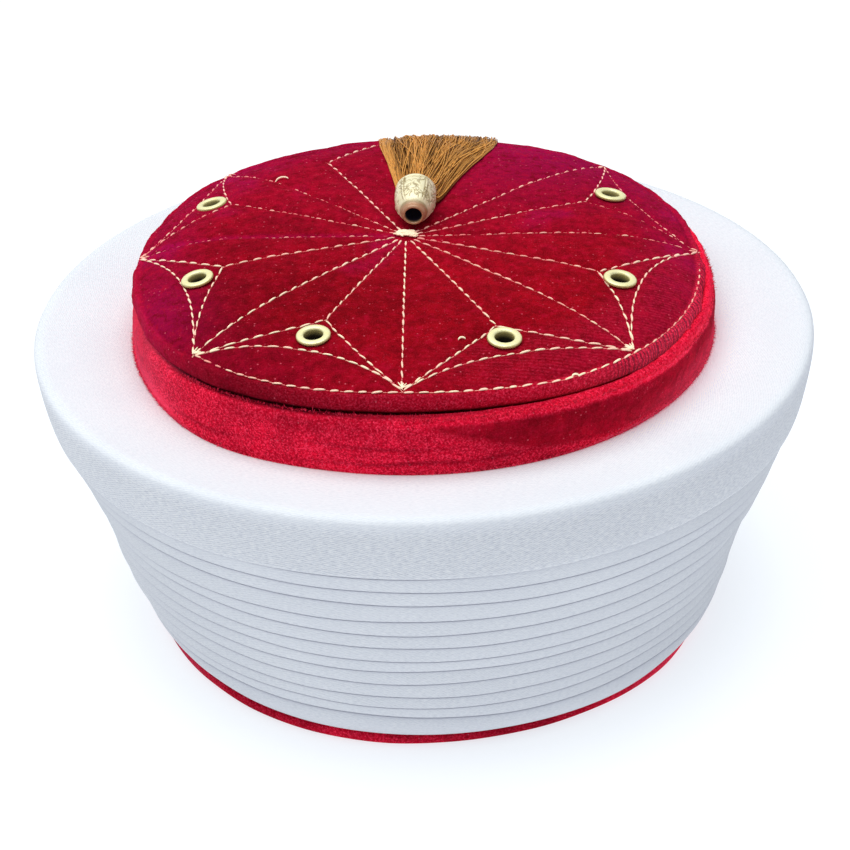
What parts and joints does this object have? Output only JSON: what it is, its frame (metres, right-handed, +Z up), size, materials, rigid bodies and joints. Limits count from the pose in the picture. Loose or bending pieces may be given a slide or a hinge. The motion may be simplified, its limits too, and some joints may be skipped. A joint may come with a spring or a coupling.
{
  "type": "imam turban",
  "caption": "Round hat: a red velvet cap with a quilted, eyeleted top and a thread tassel, wound with flared white cloth in lapped folds.",
  "frame": {"origin": "on the surface the turban stands on, under the middle of the cap's bottom hem", "axes": "+Z up through the top of the cap, the front towards -Y, the tassel falling to the back at +Y, +X to the right"},
  "size_m": [0.26, 0.26, 0.1494],
  "materials": {
    "velvet": "deep red pile with a sheen",
    "cloth": "matt white twill",
    "brass": "pale polished brass",
    "thread": "golden brown lustrous thread"
  },
  "bodies": {
    "root": {"cap_side": "velvet", "cap_top": "velvet", "eyelet_1": "brass", "eyelet_2": "brass", "eyelet_3": "brass", "eyelet_4": "brass", "eyelet_5": "brass", "eyelet_6": "brass", "wrap_cover": "cloth", "wrap_band": "cloth", "tassel_bead": "brass", "tassel": "thread"}
  },
  "joints": []
}
